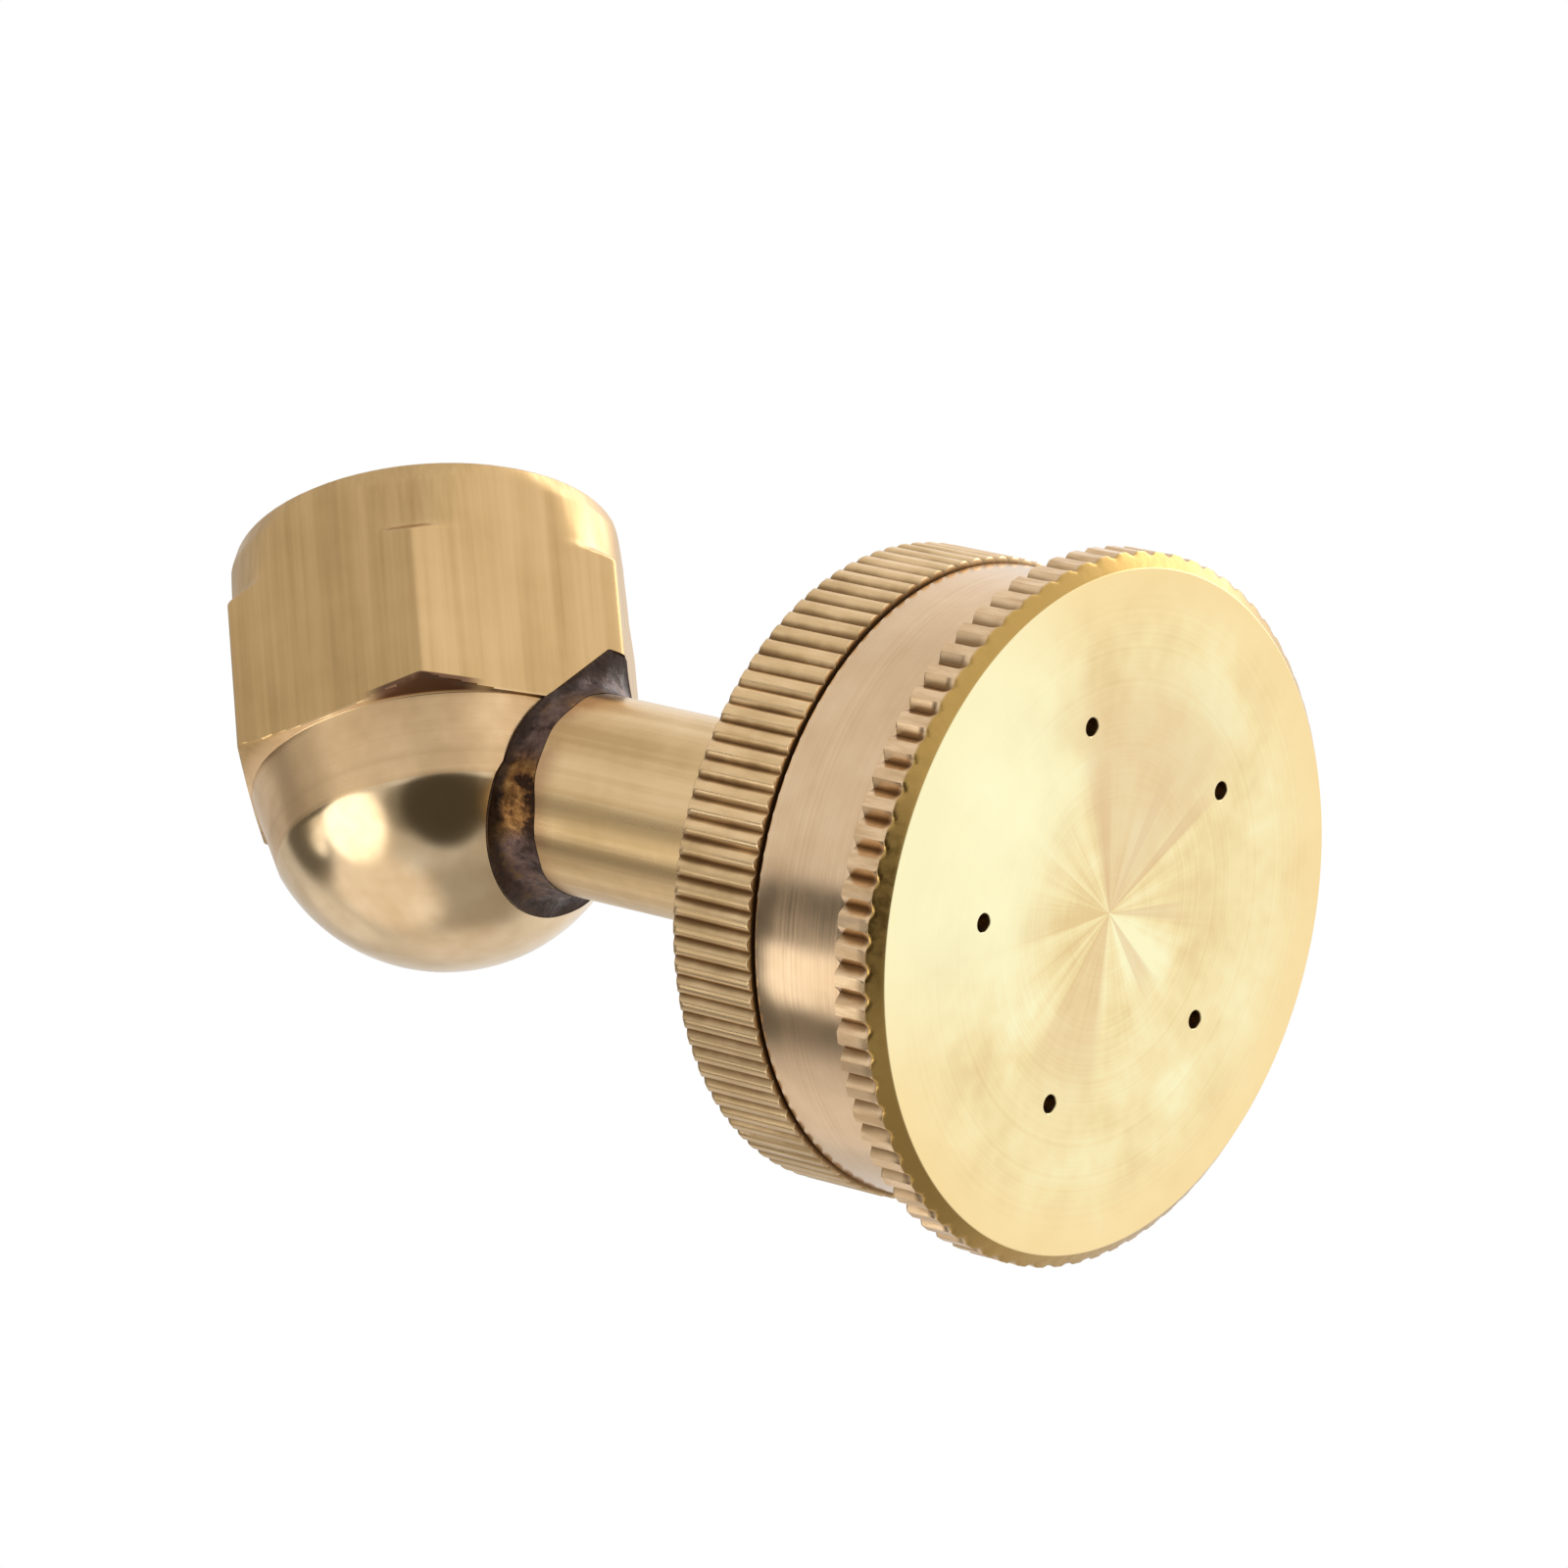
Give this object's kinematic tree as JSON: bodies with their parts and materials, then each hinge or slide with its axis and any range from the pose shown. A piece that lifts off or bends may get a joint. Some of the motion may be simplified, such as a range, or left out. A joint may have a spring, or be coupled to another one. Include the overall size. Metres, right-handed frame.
{
  "type": "open spray sprinkler head",
  "caption": "Open brass spray sprinkler head: hexagonal female inlet elbow, brazed stem tube and a round knurled head with a screw cap and tiny orifices.",
  "frame": {"origin": "centre of the inlet thread's outer end, on the inlet axis", "axes": "+Z out of the inlet along its thread; the spray leaves in the YZ plane, along -Y and -Z, 120 degrees from +Z; +X completes the frame"},
  "size_m": [0.044, 0.0722, 0.061],
  "materials": {
    "elbow_brass": "drawn hexagon with turned neck and polished dome",
    "tube_brass": "satin drawn tube",
    "housing_brass": "knurled satin",
    "cap_brass": "freshly faced, fine lathe marks",
    "core_brass": "machined",
    "braze": "heat-tarnished braze metal",
    "stainless": "brushed",
    "fibre": "vulcanised fibre",
    "rubber_seal": "matt"
  },
  "bodies": {
    "head": {"elbow_body": "elbow_brass", "inlet_washer": "fibre", "strainer_rim": "stainless", "strainer_screen": "stainless", "elbow_braze": "braze", "stem_tube": "tube_brass", "housing_braze": "braze", "rear_housing": "housing_brass"},
    "seal": {"cap_gasket": "rubber_seal"},
    "cap": {"front_cap": "cap_brass", "core_retainer": "stainless", "retainer_washer": "stainless", "retainer_screw": "stainless", "swirl_core_1": "core_brass", "swirl_core_2": "core_brass", "swirl_core_3": "core_brass", "swirl_core_4": "core_brass", "swirl_core_5": "core_brass", "core_spring_1": "stainless", "core_spring_2": "stainless", "core_spring_3": "stainless", "core_spring_4": "stainless", "core_spring_5": "stainless"}
  },
  "joints": [
    {"name": "cap_travel", "type": "slide", "parent": "head", "child": "seal", "axis": [0, -0.866, -0.5], "range_m": [0, 0.005]},
    {"name": "cap_turn", "type": "hinge", "parent": "seal", "child": "cap", "pos_m": [0, -0.04728, -0.0413], "axis": [0, -0.866, -0.5], "range_deg": [0, 1800]}
  ],
  "couplings": [
    {"joint": "cap_travel", "follows": "cap_turn", "m_per_rad": 0.00015915}
  ]
}
